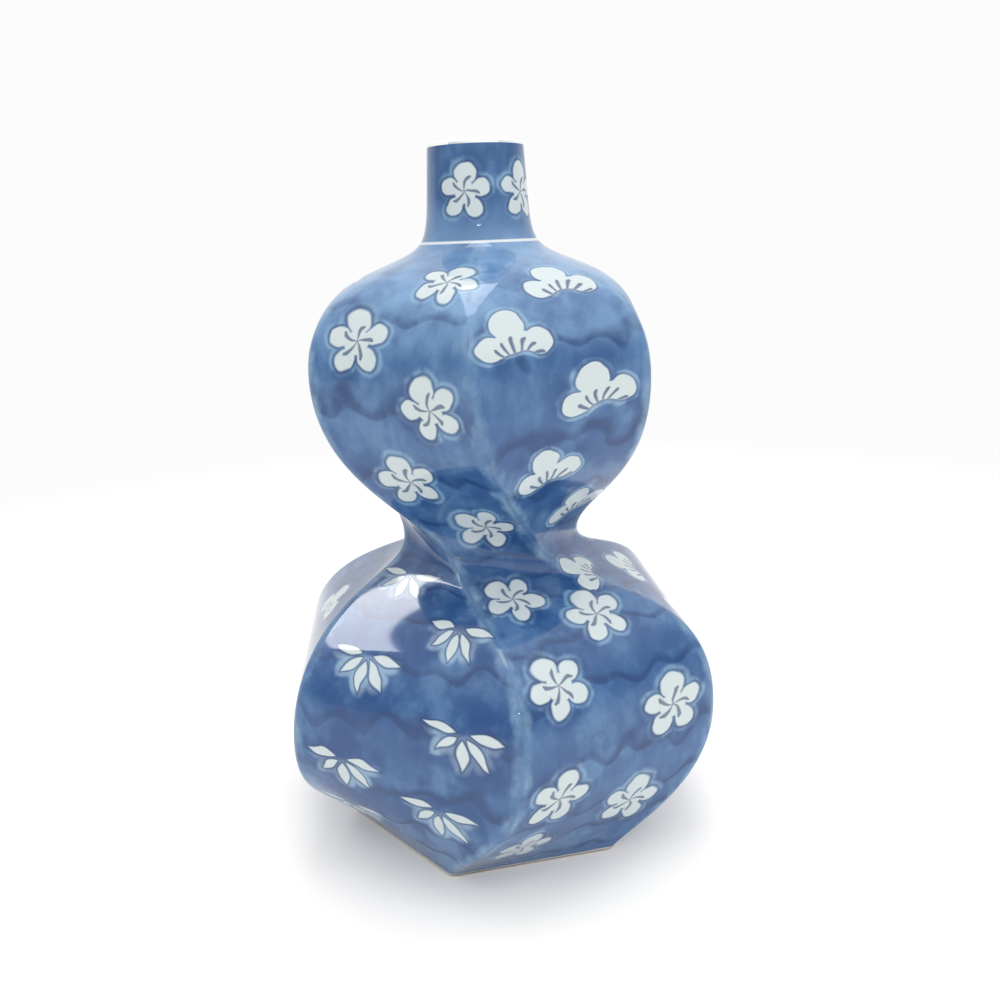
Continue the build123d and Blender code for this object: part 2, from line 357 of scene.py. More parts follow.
step_round = np.roll(outside, -1, 1) - np.roll(outside, 1, 1)
step_up = np.diff(outside, axis=0)
step_up /= np.linalg.norm(step_up, axis=2, keepdims=True)
step_up = np.concatenate([step_up[:1], step_up[:-1] + step_up[1:], step_up[-1:]])
normals = np.cross(step_round, step_up)
normals /= np.linalg.norm(normals, axis=2, keepdims=True)
print("rows:", rows_done, "columns:", outside.shape[1], "sections:", spans)

# %% [markdown]
# ## Where the painter put each motif
# Each side carries one plant all the way down, and the three plants repeat round the vase:
# bamboo, plum, pine. A motif's place is its height in mm, its place across the side, from -1 at
# the left ridge to 1 at the right one, its turn in degrees and how much wider it is drawn. They
# are read off the photograph side by side, and the hidden ones follow the same staggered rhythm.

# %% Motif places
PLUM, PINE, BAMBOO = 1, 2, 3
KIND_OF_SIDE = (PINE, BAMBOO, PLUM, PINE, BAMBOO, PLUM)
MOTIF_SIZE = {PLUM: 11.5, PINE: 12.0, BAMBOO: 16.0}     # half width in mm
places = {
    PLUM: [(222, 0.66, -24, 1.0), (202.5, -0.35, 2, 1.2), (180.5, 0.5, 20, 1.05),
           (152.5, -0.18, 12, 1.1), (132, 0.3, 60, 1.0), (107, -0.45, 35, 1.0), (100, 0.27, 8, 1.1),
           (85.5, -0.58, 20, 1.1), (64.5, 0.52, -4, 1.35), (45.5, -0.57, -20, 1.15),
           (29, 0.35, -18, 1.15), (18.5, -0.53, -15, 1.0)],
    PINE: [(220.5, 0.25, 0, 1.2), (204, -0.5, 2, 1.2), (184, 0.38, 8, 1.3), (156, -0.32, 14, 1.1),
           (137, 0.37, 15, 1.1), (110, -0.75, 10, 1.0), (102, 0.1, 10, 1.1), (86, -0.5, 0, 1.2),
           (80, 0.5, -4, 1.2), (58, -0.1, 5, 1.2), (40, 0.5, 0, 1.2), (33, -0.55, 4, 1.2)],
    BAMBOO: [(221, 0.3, 0, 1.0), (204, -0.3, 4, 1.0), (184, 0.4, 8, 1.0), (158, -0.3, 10, 1.0),
             (136, 0.3, 15, 1.0), (108, -0.34, 10, 1.0), (98, 0.5, 4, 0.9), (87, -0.46, 0, 1.0),
             (66.5, 0.5, 0, 1.1), (48.5, -0.5, 0, 1.1), (35, 0.42, 0, 1.1), (22, -0.45, 0, 1.0)],
}
LEFT_SIDE = 3           # its lower boughs are seen past the left edge, and sit differently
left_boughs = places[PINE][:5] + [(94, 0.18, 10, 1.1), (70, -0.45, 0, 1.2), (52, 0.4, 5, 1.2),
                                  (30, -0.3, 4, 1.2)]
NECK_PLUM_ANGLES, NECK_PLUM_Z, NECK_PLUM_SIZE = (-14, 57, 124, 186, 249), 251.5, 9.8
print("places on a side:", {kind: len(found) for kind, found in places.items()})

# %% [markdown]
# ## Flat axes for each motif
# The painter works square to the surface, so each motif gets its own small flat axes there: one
# level, one straight up the surface. Those local coordinates are what the paint reads. A seed of
# its own lets the brush wobble differently in each motif.

# %% Set the motifs
NECK_PLUM_TILT = 6      # degrees that a blossom on the neck may lean to either side
heights = outside[:, 0, 2] / MM
angles = np.degrees(np.arctan2(outside[..., 0], -outside[..., 1]))
column = np.arange(outside.shape[1])
rng = np.random.default_rng(7)
motifs = []


def set_motif(kind, row, col, turn_degrees, half_width, wider=1.0):
    """Adds one motif with its centre, its own axes on the surface, its size and its seed."""
    out = normals[row, col]
    level = np.cross((0, 0, 1), out)
    level /= np.linalg.norm(level)
    upward = np.cross(out, level)
    c, s = cos(radians(turn_degrees)), sin(radians(turn_degrees))
    motifs.append({"kind": kind, "centre": outside[row, col], "out": out,
                   "level": level, "upward": upward, "turn": (c, s), "wider": wider,
                   "size": half_width * MM, "seed": rng.uniform(0.05, 0.95)})


for side_number, kind in enumerate(KIND_OF_SIDE):
    own = column[side_number * COLUMNS:(side_number + 1) * COLUMNS]
    place_in_side = (own - own[0]) / COLUMNS * 2 - 1
    for z, share, turn_degrees, wider in left_boughs if side_number == LEFT_SIDE else places[kind]:
        r = int(np.argmin(np.abs(heights - z)))
        signed_across = across_mm[r, own] * np.sign(place_in_side)
        widest = across_mm[r, own].max()
        nearest_column = own[np.argmin(np.abs(signed_across - share * widest))]
        set_motif(kind, r, nearest_column, turn_degrees, MOTIF_SIZE[kind], wider)
neck_row = int(np.argmin(np.abs(heights - NECK_PLUM_Z)))
for angle in NECK_PLUM_ANGLES:
    away = (angles[neck_row] - angle + 180) % 360 - 180
    tilt = rng.uniform(-NECK_PLUM_TILT, NECK_PLUM_TILT)
    set_motif(PLUM, neck_row, int(np.argmin(np.abs(away))), tilt, NECK_PLUM_SIZE)
print("motifs:", len(motifs))

# %% [markdown]
# ## What each corner tells the paint
# Paint that follows the surface can't read plain coordinates, because the sides twist under it.
# So every corner of an outside face carries its place on the side (mm across, mm along, side), its
# place in the nearest motif and its distance from the ridge. Corners are used and not points,
# because two motifs or two sides can meet at one point.

# %% Paint vectors of the outside
MOTIF_REACH = 1.75      # of a motif's half width: room for its outline and halo
SAME_WAY = 0.25         # a face takes a motif only if it faces about the same way
NO_MOTIF = (9.0, 9.0, 0.0)
COUNT = outside.shape[1]


def paint_corners(first, last):
    """Normals and paint vectors of the corners of the outside faces from row first to row last."""
    r, c = np.meshgrid(np.arange(first, last), column, indexing="ij")
    r, c = r.ravel()[:, None], c.ravel()[:, None]
    rows4, cols4 = r + np.array([0, 0, 1, 1]), c + np.array([0, 1, 1, 0])
    on_side = c // COLUMNS
    sign = np.sign((cols4 - on_side * COLUMNS) / COLUMNS - 0.5)
    across4 = across_mm[rows4, cols4 % COUNT]
    points4, normals4 = outside[rows4, cols4 % COUNT], normals[rows4, cols4 % COUNT]
    place = np.stack([across4 * sign, along_mm[rows4], on_side + 0.0 * sign], -1)
    ridge = across_mm.max(1)[rows4] - across4
    motif = np.tile(np.array(NO_MOTIF), (len(r), 4, 1))
    nearest = np.full(len(r), MOTIF_REACH)
    middles, facing = points4.mean(1), normals4.mean(1)
    for m in motifs:
        away = np.linalg.norm(middles - m["centre"], axis=1) / m["size"]
        chosen = (away < nearest) & (facing @ m["out"] > SAME_WAY)
        nearest[chosen] = away[chosen]
        d = points4[chosen] - m["centre"]
        x, y = d @ m["level"], d @ m["upward"]
        stretch = np.linalg.norm(d, axis=2) / np.maximum(np.hypot(x, y), 1e-9) / m["size"]
        x, y = x * stretch / m["wider"], y * stretch
        c, s = m["turn"]
        seeded_kind = np.full(x.shape, m["kind"] + m["seed"])
        motif[chosen] = np.stack([c * x + s * y, c * y - s * x, seeded_kind], -1)
    return normals4, place, motif, ridge


# %% [markdown]
# ## A closed section
# Each section is a stack of rings: up the outside, across the rim, down the inside and back, or
# capped at both ends where it has a floor. The outside rings come from the tree. Normals are given
# for each corner: the twisted sides keep those of the whole vase, and the flat luted faces get their own.

# %% Build a section from rings
def make_section(name, inner_rings, inner_normals, capped):
    """A closed section: outside rows, then the given rings, joined back or capped at both ends."""
    first, last = spans[name]
    rings = list(outside[first:last + 1]) + list(inner_rings)
    ring_normals = list(normals[first:last + 1]) + list(inner_normals)
    bands = len(rings) - 1 if capped else len(rings)
    after = np.roll(column, -1)
    outer_normals, place, motif, ridge = paint_corners(first, last)
    faces, corner_normals = [], [outer_normals]
    for b in range(bands):
        above = (b + 1) % len(rings)
        low, high = b * COUNT, above * COUNT
        faces += np.stack([low + column, low + after, high + after, high + column], 1).tolist()
        if b < last - first:
            continue
        a, z = rings[b], rings[above]
        na, nz = ring_normals[b], ring_normals[above]
        if na is None or nz is None or b == last - first:
            flat = np.cross(a[after] - a, z - a)
            flat = flat + np.cross(z[after] - a[after], z[after] - z)
            flat /= np.maximum(np.linalg.norm(flat, axis=1, keepdims=True), 1e-12)
            corner_normals.append(np.repeat(flat[:, None], 4, 1))
        else:
            corner_normals.append(np.stack([na, na[after], nz[after], nz], 1))
    if capped:
        faces.append(column[::-1].tolist())
        faces.append(((len(rings) - 1) * COUNT + column).tolist())
        corner_normals += [np.tile((0.0, 0.0, way), (COUNT, 1)) for way in (-1.0, 1.0)]
    loops = np.concatenate([n.reshape(-1, 3) for n in corner_normals])
    mesh = bpy.data.meshes.new(name)
    mesh.from_pydata(np.concatenate(rings).tolist(), [], faces)
    mesh.shade_smooth()
    mesh.normals_split_custom_set(loops.tolist())
    for label, value, bare in (("place", place, (0.0, 0.0, 0.0)), ("motif", motif, NO_MOTIF)):
        full = np.tile(np.array(bare, np.float32), (len(loops), 1))
        full[:len(value) * 4] = value.reshape(-1, 3)
        mesh.attributes.new(label, "FLOAT_VECTOR", "CORNER").data.foreach_set("vector", full.ravel())
    for label, value in (("ridge", ridge), ("painted", np.ones_like(ridge))):
        full = np.zeros(len(loops), np.float32)
        full[:value.size] = value.ravel()
        mesh.attributes.new(label, "FLOAT", "CORNER").data.foreach_set("value", full)
    section = bpy.data.objects.new(name + "_dressed", mesh)
    bpy.context.scene.collection.objects.link(section)
    print(name, len(mesh.vertices), "points,", len(mesh.polygons), "faces")
    return section


# %% [markdown]
# ## The two bulbs
# A cast wall has one thickness, so the inside is the outside moved in by it, square to the surface.
# The lower bulb has a flat floor, which cuts that inside off, and is capped. The upper bulb is open
# at both ends, and narrows to the throat under the neck.

# %% Lower and upper bulb
WALL, FLOOR = 4.2 * MM, 5.5 * MM


def ring(radius_at, z):
    """A round ring in the columns' own directions."""
    way = outside[-1, :, :2] / np.linalg.norm(outside[-1, :, :2], axis=1, keepdims=True)
    return np.column_stack([way * radius_at, np.full(COUNT, z)])


inside = outside - WALL * normals
first, last = spans["lower_bulb"]
lower_inside = inside[first:last + 1][::-1].copy()
lower_inside[..., 2] = np.maximum(lower_inside[..., 2], foot_top + FLOOR)
lower_inside[0, :, 2] = waist_z
lower_bulb = make_section("lower_bulb", lower_inside, -normals[first:last + 1][::-1], capped=True)

first, last = spans["upper_bulb"]
upper_inside = inside[first:last + 1][::-1].copy()
upper_inside[-1, :, 2] = waist_z
upper_inside = np.concatenate([ring(THROAT_RADIUS, seat_z)[None], upper_inside])
upper_normals = np.concatenate([-normals[last:last + 1], -normals[first:last + 1][::-1]])
upper_bulb = make_section("upper_bulb", upper_inside, upper_normals, capped=False)

# %% [markdown]
# ## The neck and the foot
# The neck is thrown, so its lip is a half circle of rings and its bore is round. The foot is a low
# six-sided ring. Its inner face is the outline of the sole drawn in, and its lower edge is bevelled
# a little, as it is when the foot is wiped.

# %% Neck and foot ring
FOOT_WIDTH = 7.5 * MM
LIP_STEPS = 8
lip_rings, lip_normals = [], []
way = ring(1.0, 0.0)
for k in range(1, LIP_STEPS + 1):
    angle = pi * k / LIP_STEPS
    lip_rings.append(ring(RIM_RADIUS - LIP + LIP * cos(angle), lip_z + LIP * sin(angle)))
    lip_normals.append(way * cos(angle) + np.array([0, 0, sin(angle)]))
neck_inside = lip_rings + [ring(BORE_RADIUS, seat_z + THROAT_HEIGHT), ring(THROAT_RADIUS, seat_z)]
neck = make_section("neck", neck_inside, lip_normals + [-way, None], capped=False)

base = outside[spans["foot_ring"][0]] * np.array([1, 1, 0])
recess = base * (1 - FOOT_WIDTH / (FOOT_RADIUS * cos(pi / SIDES)))
sole = base * (1 - FOOT_CHAMFER / FOOT_RADIUS)
foot_ring = make_section("foot_ring", [recess + (0, 0, foot_top), recess, sole], [None] * 3, capped=False)

# %% [markdown]
# ## Paint, part one: edges and strokes
# The motifs are left white in the blue and outlined with a fine brush. Each is a node group that
# works with the distance to the edge of the drawing, counted in half widths of the motif. So a
# shape stays sharp at any size, which an image wouldn't. Every group gives the same three masks:
# White, Line, and Halo for the pale wash round it.

# %% Edge and mask helpers
SHADER = "ShaderNodeTree"
motif_inputs = {"Place": VECTOR}
motif_outputs = {"White": FLOAT, "Line": FLOAT, "Halo": FLOAT}
STROKE_FADE = (-0.02, 0.03)     # soft edge of a brush stroke


def together(tree, operation, *values):
    """Several values taken into one: MULTIPLY lays masks over one another, MINIMUM joins shapes."""
    result = values[0]
    for value in values[1:]:
        result = add(tree, MATH, result, value, operation=operation)
    return result


def drawn_edge(tree, edge, fade, rise, fall, strength):
    """White inside an edge and the brush line along it, from the distance to the edge."""
    inside_edge = add(tree, MAP_RANGE, edge, *fade, 1.0, 0.0, **SMOOTH)
    line_in = add(tree, MAP_RANGE, edge, *rise, 0.0, 1.0, **SMOOTH)
    line_out = add(tree, MAP_RANGE, edge, *fall, strength, 0.0, **SMOOTH)
    return inside_edge, together(tree, "MULTIPLY", line_in, line_out)


def brush_stroke(tree, off, way, swell, end, strength):
    """A stroke that swells along its way up to its end, from the distance off its middle."""
    thick = add(tree, MAP_RANGE, way, *swell)
    ended = add(tree, MAP_RANGE, way, *end)
    width = add(tree, MATH, thick, ended, operation="SUBTRACT")
    gap = add(tree, MATH, off, width, operation="SUBTRACT")
    return add(tree, MAP_RANGE, gap, *STROKE_FADE, strength, 0.0, **SMOOTH)


def give_masks(tree, masks, white, line, halo):
    """Wires the three masks of a motif to the outputs of its group."""
    for label, value in (("White", white), ("Line", line), ("Halo", halo)):
        tree.links.new(value, masks[label])
    print(tree.name, "has", len(tree.nodes), "nodes")


# %% [markdown]
# ## Paint, part two: the plum blossom
# A plum has five round petals, the top one larger, with open notches between them and a hooked
# stroke from the heart into each petal. One petal is drawn and folded five times round the centre,
# and the larger one is laid over the top.

# %% Plum blossom
PETAL_AWAY, PETAL_LENGTH, PETAL_WIDTH, HEART = 0.63, 0.35, 0.305, 0.42
TOP_AWAY, TOP_PETAL = 0.66, 0.40
FIFTH = 2 * pi / 5

plum, given, masks = new_group("plum_blossom", SHADER, motif_inputs, motif_outputs)
x, y, _ = add(plum, SEPARATE, given["Place"]).node.outputs
radius = add(plum, VECTOR_MATH, given["Place"], operation="LENGTH", out="Value")
angle = add(plum, MATH, x, y, operation="ARCTAN2")
folded = add(plum, MATH, angle, FIFTH / 2, -FIFTH / 2, operation="WRAP")
petal_x = add(plum, MATH, radius, add(plum, MATH, folded, operation="COSINE"), operation="MULTIPLY")
petal_y = add(plum, MATH, radius, add(plum, MATH, folded, operation="SINE"), operation="MULTIPLY")
petal_place = add(plum, COMBINE, petal_x, petal_y, 0.0)
from_petal = add(plum, VECTOR_MATH, petal_place, (PETAL_AWAY, 0.0, 0.0), operation="SUBTRACT")
from_top = add(plum, VECTOR_MATH, given["Place"], (0.0, TOP_AWAY, 0.0), operation="SUBTRACT")
gaps = [add(plum, MATH, radius, HEART, operation="SUBTRACT")]
for offset, oval in ((from_petal, (1 / PETAL_LENGTH, 1 / PETAL_WIDTH, 0.0)),
                     (from_top, (1 / TOP_PETAL, 1 / TOP_PETAL, 0.0))):
    in_oval = add(plum, VECTOR_MATH, offset, oval, operation="MULTIPLY")
    from_middle = add(plum, VECTOR_MATH, in_oval, operation="LENGTH", out="Value")
    gaps.append(add(plum, MATH, from_middle, PETAL_WIDTH, -PETAL_WIDTH, operation="MULTIPLY_ADD"))
edge = together(plum, "MINIMUM", *gaps)

# a stroke from the heart into each petal, hooked and thickest near its end
hooked = add(plum, MATH, petal_x, 3.0, operation="POWER")
bow = add(plum, MATH, hooked, -1.0, petal_y, operation="MULTIPLY_ADD")
off_stroke = add(plum, MATH, bow, operation="ABSOLUTE")
swell, end = (0.05, 0.50, 0.012, 0.075), (0.50, 0.60, 0.0, 0.14)
stroke = brush_stroke(plum, off_stroke, petal_x, swell, end, 0.9)

white, outline = drawn_edge(plum, edge, (-0.045, 0.035), (-0.02, 0.03), (0.04, 0.12), 0.7)
line = add(plum, MATH, outline, stroke, operation="MAXIMUM")
halo = add(plum, MAP_RANGE, edge, 0.10, 0.24, 1.0, 0.0, **SMOOTH)
give_masks(plum, masks, white, line, halo)

# %% [markdown]
# ## Paint, part three: the pine bough
# A pine bough is a small cloud of lobes with a shallow hollow underneath, where a thin wash still
# shows the rest of the cloud. A fan of short, bent needle strokes rises from the hollow. The lobes
# are circles joined together, and the hollow is one large circle cut out of them.

# %% Pine bough
LOBES = (((-0.10, 0.36, 0.0), 0.43), ((-0.64, -0.26, 0.0), 0.35), ((0.62, -0.14, 0.0), 0.38),
         ((0.0, -0.06, 0.0), 0.38), ((-0.32, -0.24, 0.0), 0.34), ((0.32, -0.16, 0.0), 0.33))
HOLLOW_CENTRE, HOLLOW = (0.10, -1.20, 0.0), 0.82
FAN_CENTRE, NEEDLES, NEEDLE_STEP = (0.06, -0.72, 0.0), 6, radians(25)

pine, given, masks = new_group("pine_bough", SHADER, motif_inputs, motif_outputs)
gaps = []
for lobe_centre, lobe in LOBES:
    to_lobe = add(pine, VECTOR_MATH, given["Place"], lobe_centre, operation="DISTANCE", out="Value")
    gaps.append(add(pine, MATH, to_lobe, lobe, operation="SUBTRACT"))
cloud = together(pine, "MINIMUM", *gaps)
below = add(pine, VECTOR_MATH, given["Place"], HOLLOW_CENTRE, operation="DISTANCE", out="Value")
hollow = add(pine, MATH, HOLLOW, below, operation="SUBTRACT")
bough = add(pine, MATH, cloud, hollow, operation="MAXIMUM")

# the needles, one wedge of the fan repeated
from_fan = add(pine, VECTOR_MATH, given["Place"], FAN_CENTRE, operation="SUBTRACT")
fan_x, fan_y, _ = add(pine, SEPARATE, from_fan).node.outputs
fan_radius = add(pine, VECTOR_MATH, from_fan, operation="LENGTH", out="Value")
fan_angle = add(pine, MATH, fan_x, fan_y, operation="ARCTAN2")
needle = add(pine, MATH, fan_angle, NEEDLE_STEP, 0.0, operation="WRAP")
needle = add(pine, MATH, needle, NEEDLE_STEP / 2, operation="SUBTRACT")
bent = add(pine, MATH, fan_radius, -0.35, needle, operation="MULTIPLY_ADD")
bent = add(pine, MATH, bent, 0.18, operation="ADD")
off_angle = add(pine, MATH, bent, operation="ABSOLUTE")
off_needle = add(pine, MATH, off_angle, fan_radius, operation="MULTIPLY")
swell, end = (0.34, 0.70, 0.022, 0.05), (0.72, 0.82, 0.0, 0.11)
stroke = brush_stroke(pine, off_needle, fan_radius, swell, end, 0.95)
from_upright = add(pine, MATH, fan_angle, operation="ABSOLUTE")
in_fan = add(pine, MATH, from_upright, NEEDLES / 2 * NEEDLE_STEP, operation="LESS_THAN")
in_bough = add(pine, MAP_RANGE, bough, -0.02, 0.02, 1.0, 0.0)
stroke = together(pine, "MULTIPLY", stroke, in_fan, in_bough)

white, outline = drawn_edge(pine, bough, (-0.02, 0.02), (-0.015, 0.025), (0.03, 0.08), 0.6)
thin_wash = add(pine, MAP_RANGE, cloud, -0.08, 0.06, 0.4, 0.0, **SMOOTH)
white = add(pine, MATH, white, thin_wash, operation="MAXIMUM")
line = add(pine, MATH, outline, stroke, operation="MAXIMUM")
halo = add(pine, MAP_RANGE, bough, 0.10, 0.18, 1.0, 0.0, **SMOOTH)
give_masks(pine, masks, white, line, halo)

# %% [markdown]
# ## Paint, part four: one bamboo leaf
# A leaf is pointed at both ends and widest a little nearer to the stem, as a brush leaves it when
# it is pressed and lifted again. A sine gives that shape. The leaf is a group of its own, with its
# length, width and direction as inputs, because the bamboo uses it five times.

# %% One leaf
LEAF_START = 0.13       # a leaf leaves the stem by a short stalk that isn't painted
BELLY_SHIFT = 0.85      # below 1, the widest place of a leaf lies nearer to the stem
leaf_inputs = {"Place": VECTOR, "Turn": FLOAT, "Length": FLOAT, "Width": FLOAT}
leaf, given, leaf_out = new_group("bamboo_leaf", SHADER, leaf_inputs, {"Edge": FLOAT})
turned = add(leaf, "ShaderNodeVectorRotate", given["Place"], (0.0, 0.0, 0.0), given["Turn"],
             rotation_type="Z_AXIS")
u, v, _ = add(leaf, SEPARATE, turned).node.outputs
share = add(leaf, MAP_RANGE, u, LEAF_START, given["Length"], 0.0, 1.0)
shaped = add(leaf, MATH, share, BELLY_SHIFT, operation="POWER")
half_turn = add(leaf, MATH, shaped, pi, operation="MULTIPLY")
belly = add(leaf, MATH, half_turn, operation="SINE")
half = add(leaf, MATH, belly, given["Width"], -0.02, operation="MULTIPLY_ADD")
off_rib = add(leaf, MATH, v, operation="ABSOLUTE")
before = add(leaf, MATH, LEAF_START, u, operation="SUBTRACT")
after = add(leaf, MATH, u, given["Length"], operation="SUBTRACT")
off_end = add(leaf, MATH, before, after, operation="MAXIMUM")
beyond = add(leaf, MATH, off_end, 0.0, operation="MAXIMUM")
beside = add(leaf, MATH, off_rib, half, operation="SUBTRACT")
edge = add(leaf, MATH, beside, beyond, operation="ADD")
leaf.links.new(edge, leaf_out["Edge"])
print("leaf has", len(leaf.nodes), "nodes")

# %% [markdown]
# ## Paint, part five: the bamboo
# Five leaves hang from one node of the stem: two reach sideways and three hang down. Between them
# the painter brushed a thin, pale wash, like a web. It is kept near the leaves, so its edge curves
# in between their tips.

# %% Five leaves and their web
STEM = (0.0, 0.34, 0.0)
LEAVES = ((172, 0.95, 0.13), (217, 0.76, 0.125), (266, 0.88, 0.145), (306, 1.0, 0.135), (352, 0.98, 0.13))
WEB_WHITE = 0.12        # how much of the white shows in the web
bamboo, given, masks = new_group("bamboo_leaves", SHADER, motif_inputs, motif_outputs)
from_stem = add(bamboo, VECTOR_MATH, given["Place"], STEM, operation="SUBTRACT")
gaps = []
for direction, leaf_length, leaf_width in LEAVES:
    gap = add(bamboo, "ShaderNodeGroup", from_stem, radians(-direction), leaf_length, leaf_width,
              node_tree=leaf)
    gaps.append(gap)
edge = together(bamboo, "MINIMUM", *gaps)
white, line = drawn_edge(bamboo, edge, (-0.03, 0.02), (-0.015, 0.02), (0.025, 0.06), 0.8)
above_stem = add(bamboo, SEPARATE, from_stem, out="Y")
reach_out = add(bamboo, VECTOR_MATH, from_stem, operation="LENGTH", out="Value")
web_out = add(bamboo, MAP_RANGE, reach_out, 0.78, 1.0, 1.0, 0.0, **SMOOTH)
hanging = add(bamboo, MAP_RANGE, above_stem, -0.12, 0.02, 1.0, 0.0)
near_leaf = add(bamboo, MAP_RANGE, edge, 0.10, 0.24, 1.0, 0.0, **SMOOTH)
halo = together(bamboo, "MULTIPLY", web_out, hanging, near_leaf)
web = add(bamboo, MATH, halo, WEB_WHITE, operation="MULTIPLY")
white = add(bamboo, MATH, white, web, operation="MAXIMUM")
give_masks(bamboo, masks, white, line, halo)

# %% [markdown]
# ## The glazed surface: colours
# Blue and white porcelain is painted with cobalt on the dry body and then glazed clear, so the
# eye gets soft, uneven colour under a hard shine. The colours are written as sRGB, as they look in
# even light. One helper lays a colour over what is there, as the brush does, and each later cell
# adds one layer of colour. Most are what the painter or the kiln did, but the paler shoulder and
# the pale ridges also carry painted light.

# %% Colours and paint helpers
WASH_THIN, WASH, WASH_DEEP = "#88afd6", "#49709f", "#224880"
# the pale ridge colour stands partly for a painted highlight of the bright room
LINE_BLUE, WAVE_BLUE, RIDGE_PALE_AND_HIGHLIGHT = "#23426f", "#294878", "#93b7d2"
GLAZE_WHITE, RESERVE_WHITE, HALO_BLUE = "#eef1ef", "#cdd8da", "#8fb3d0"
NECK_BLUE = "#2c4b73"


def colour(code):
    """A colour written as sRGB hex, turned into the linear numbers the shader needs."""
    parts = [int(code[i:i + 2], 16) / 255 for i in (1, 3, 5)]
    return tuple(c / 12.92 if c <= 0.04045 else ((c + 0.055) / 1.055) ** 2.4 for c in parts) + (1.0,)


def empty_tree(owner):
    """Turns on the nodes of a material or a world and gives back its tree with nothing in it."""
    owner.use_nodes = True
    owner.node_tree.nodes.clear()
    return owner.node_tree


def place_in_mm(tree):
    """The place on the vase in mm, and its height alone."""
    in_mm = add(tree, VECTOR_MATH, add(tree, "ShaderNodeTexCoord", out="Object"), operation="SCALE")
    in_mm.node.inputs["Scale"].default_value = 1.0 / MM
    return in_mm, add(tree, SEPARATE, in_mm, out="Z")


def lay_on(tree, tone, code, *masks):
    """Lays a colour over the tone so far, where all the masks let it."""
    cover = together(tree, "MULTIPLY", *masks)
    return add(tree, MIX, cover, tone, colour(code), data_type="RGBA")


porcelain = bpy.data.materials.new("painted_glazed_porcelain")
paint = empty_tree(porcelain)
in_mm, height_mm = place_in_mm(paint)
painted = add(paint, ATTRIBUTE, attribute_name="painted", out="Fac")
ridge_mm = add(paint, ATTRIBUTE, attribute_name="ridge", out="Fac")
place = add(paint, ATTRIBUTE, attribute_name="place", out="Vector")
across, along, on_side = add(paint, SEPARATE, place).node.outputs
motif = add(paint, ATTRIBUTE, attribute_name="motif", out="Vector")
motif_kind = add(paint, SEPARATE, motif, out="Z")
print("the paint reads", [n.attribute_name for n in paint.nodes if n.type == "ATTRIBUTE"])

# %% [markdown]
# ## The wash
# The wash pools and thins like watercolour. Three sizes of noise make it: pools, clouds and the
# marks of the brush, which are drawn out upwards. Their sum says how deep the colour lies.

# %% Mottled wash
POOLS, CLOUDS, BRUSH_MARKS = 38, 13, 4.5        # sizes in mm
BRUSH_DRAWN_OUT = (1.0, 1.0, 0.45)
brushed = add(paint, VECTOR_MATH, in_mm, BRUSH_DRAWN_OUT, operation="MULTIPLY")
pools = add(paint, NOISE, in_mm, 1 / POOLS, 2.0, 0.5, noise_dimensions="3D")
clouds = add(paint, NOISE, in_mm, 1 / CLOUDS, 4.0, 0.55, noise_dimensions="3D")
brush = add(paint, NOISE, brushed, 1 / BRUSH_MARKS, 3.0, 0.5, noise_dimensions="3D")
depth = 0.0
for mottling, share in ((pools, 0.38), (clouds, 0.40), (brush, 0.22)):
    depth = add(paint, MATH, mottling, share, depth, operation="MULTIPLY_ADD")
thin = add(paint, MAP_RANGE, depth, 0.38, 0.52, 0.26, 0.0, **SMOOTH)
deep = add(paint, MAP_RANGE, depth, 0.47, 0.62, 0.0, 0.42, **SMOOTH)
tone = lay_on(paint, colour(WASH), WASH_THIN, thin)
tone = lay_on(paint, tone, WASH_DEEP, deep)
print("wash sizes in mm:", POOLS, CLOUDS, BRUSH_MARKS)

# %% [markdown]
# ## Where the colour is deeper or paler
# The brush lingers round a motif and leaves the wash deeper there. The colour is also darker
# round the waist, the wash is deeper towards the mouth, and the shoulder is paler, partly a
# thinner wash and partly painted light from the bright ceiling above. The wash is thin at the
# foot of the neck. The clouds break up all of these but the last, because a band with an even
# edge would look printed.

# %% Deep and pale places
WAIST_MIDDLE = waist_z / MM - 8.0       # the deepest place lies a little below the waist
motif_flat = add(paint, VECTOR_MATH, motif, (1.0, 1.0, 0.0), operation="MULTIPLY")
motif_out = add(paint, VECTOR_MATH, motif_flat, operation="LENGTH", out="Value")
lingering = add(paint, MAP_RANGE, motif_out, 1.0, 1.45, 1.0, 0.0, **SMOOTH)
uneven = add(paint, MAP_RANGE, clouds, 0.42, 0.60, 0.1, 0.65)
tone = lay_on(paint, tone, WASH_DEEP, lingering, uneven)

under_seam = add(paint, MATH, height_mm, seat_z / MM, operation="LESS_THAN")
above_seam = add(paint, MATH, 1.0, under_seam, operation="SUBTRACT")
# paler on the upward-facing shoulder: partly a thinner wash, partly painted light from the bright ceiling
shoulder = add(paint, MAP_RANGE, height_mm, 188.0, 222.0, 0.0, 0.75, **SMOOTH)
uneven = add(paint, MAP_RANGE, clouds, 0.42, 0.66, 1.0, 0.5)
tone = lay_on(paint, tone, WASH_THIN, shoulder, under_seam, uneven)

from_waist = add(paint, MATH, height_mm, WAIST_MIDDLE, operation="SUBTRACT")
off_waist = add(paint, MATH, from_waist, operation="ABSOLUTE")
# the colour is made darker round the waist, most just below it
waist_darker = add(paint, MAP_RANGE, off_waist, 8.0, 85.0, 0.6, 0.16, **SMOOTH)
uneven = add(paint, MAP_RANGE, clouds, 0.38, 0.58, 0.5, 1.0)
tone = lay_on(paint, tone, WASH_DEEP, waist_darker, uneven)

neck_dark = add(paint, MAP_RANGE, height_mm, 244.0, 268.0, 0.0, 0.45)
uneven = add(paint, MAP_RANGE, clouds, 0.4, 0.6, 0.4, 1.0)
tone = lay_on(paint, tone, NECK_BLUE, neck_dark, uneven, above_seam)
neck_foot = add(paint, MAP_RANGE, height_mm, 238.0, 258.0, 0.3, 0.0, **SMOOTH)
tone = lay_on(paint, tone, WASH_THIN, neck_foot, above_seam)
print("painted porcelain:", len(paint.nodes), "nodes so far")

